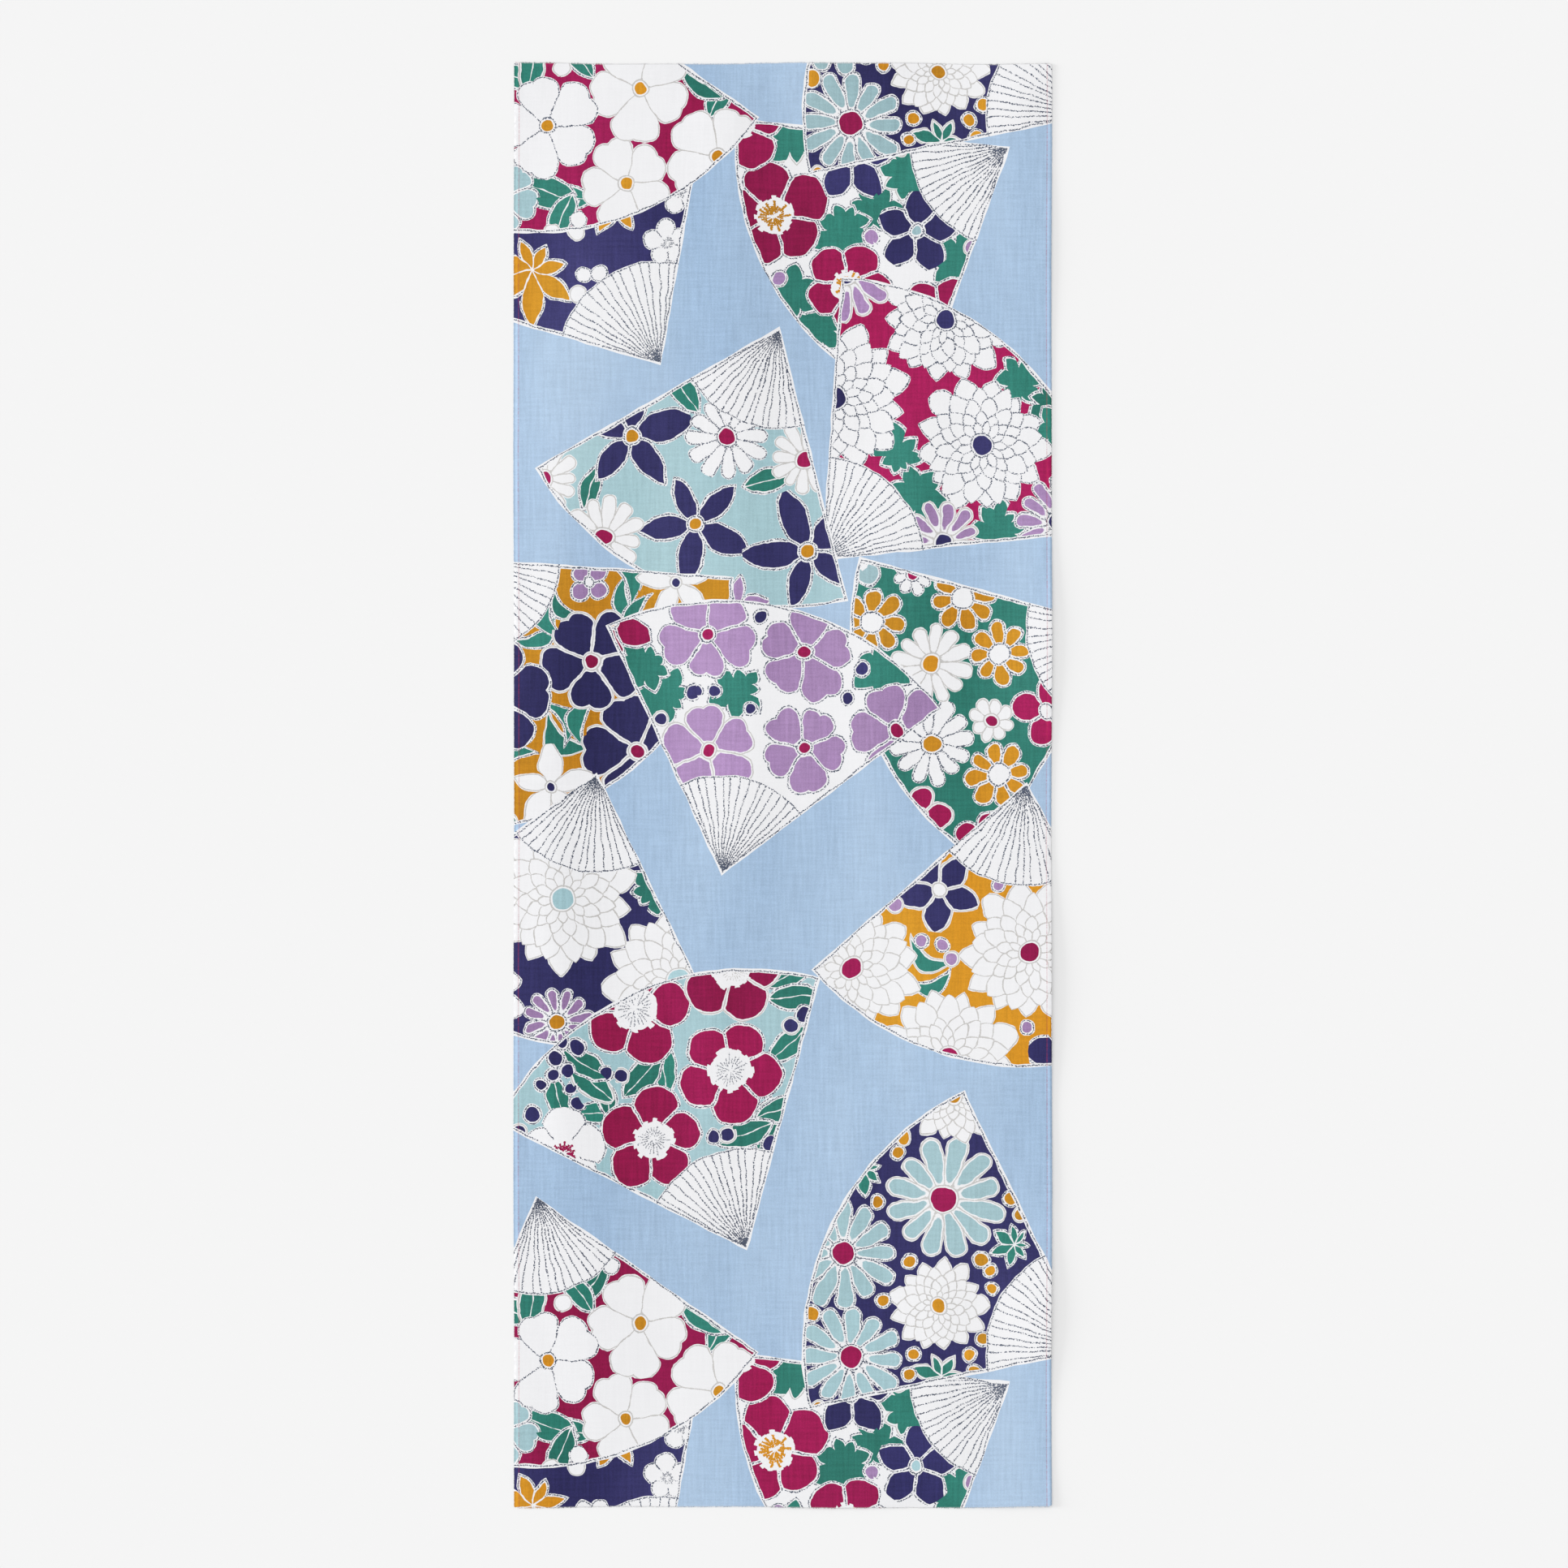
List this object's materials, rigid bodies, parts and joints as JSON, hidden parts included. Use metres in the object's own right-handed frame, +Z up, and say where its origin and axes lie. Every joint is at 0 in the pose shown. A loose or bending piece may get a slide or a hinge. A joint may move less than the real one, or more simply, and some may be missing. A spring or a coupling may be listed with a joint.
{
  "type": "tenugui towel",
  "caption": "Long, thin towel of printed plain-woven cotton, laid out flat, with woven selvedges along its sides and raw cut ends with no hem.",
  "frame": {"origin": "middle of the towel's box, on the surface that it lies on, at its underside", "axes": "+Y along the towel towards its far cut end, +X across it from one selvedge to the other, +Z up out of its printed face"},
  "size_m": [0.3356, 0.9012, 0.0039],
  "materials": {
    "printed_cotton": "matte plain-woven cotton, dyed light blue with a print of fans and flowers in navy, crimson, green, lilac, mustard and white"
  },
  "bodies": {
    "root": {"towel_cloth": "printed_cotton"}
  },
  "joints": []
}
